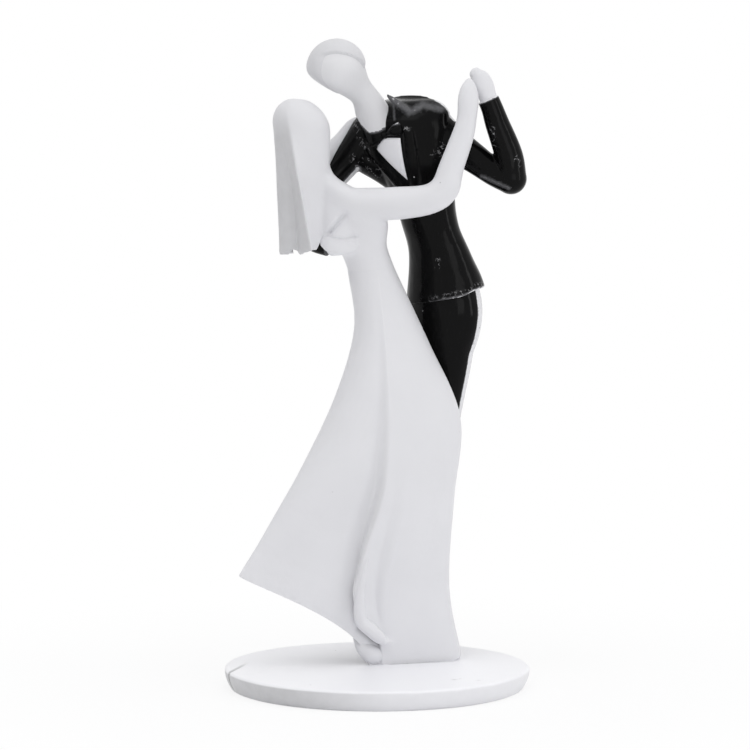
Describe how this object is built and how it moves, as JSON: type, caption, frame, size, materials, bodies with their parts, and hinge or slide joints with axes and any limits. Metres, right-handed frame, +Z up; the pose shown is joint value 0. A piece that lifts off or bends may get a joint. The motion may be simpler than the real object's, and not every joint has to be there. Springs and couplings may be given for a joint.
{
  "type": "wedding cake topper",
  "caption": "Faceless bride and groom dancing in a closed hold on a round base, the bride in a sweeping gown and veil, the groom in a gloss black suit; stands on a cake.",
  "frame": {"origin": "middle of the base's underside", "axes": "+Z up, -Y towards the viewer of the picture, +X to the viewer's right"},
  "size_m": [0.063, 0.063, 0.1335],
  "materials": {
    "white_resin": "satin white casting",
    "black_paint": "gloss black paint over the casting",
    "dowel_steel": "plain"
  },
  "bodies": {
    "root": {"base_plate": "white_resin", "bride_shoe": "white_resin", "bride_leg": "white_resin", "bride_skirt": "white_resin", "bride_bodice": "white_resin", "bride_torso": "white_resin", "bride_head": "white_resin", "bride_hair": "white_resin", "bride_veil": "white_resin", "bride_right_arm": "white_resin", "bride_left_arm": "white_resin", "groom_shirt_front": "white_resin", "groom_head": "white_resin", "groom_hair": "white_resin", "groom_left_hand": "white_resin", "groom_right_hand": "white_resin", "groom_left_shoe": "black_paint", "groom_right_shoe": "black_paint", "groom_trousers": "black_paint", "groom_jacket": "black_paint", "groom_bow_tie": "black_paint", "groom_collar": "black_paint", "groom_left_lapel": "black_paint", "groom_right_lapel": "black_paint", "groom_left_sleeve": "black_paint", "groom_right_sleeve": "black_paint", "bride_dowel": "dowel_steel", "groom_left_dowel": "dowel_steel", "groom_right_dowel": "dowel_steel"}
  },
  "joints": []
}
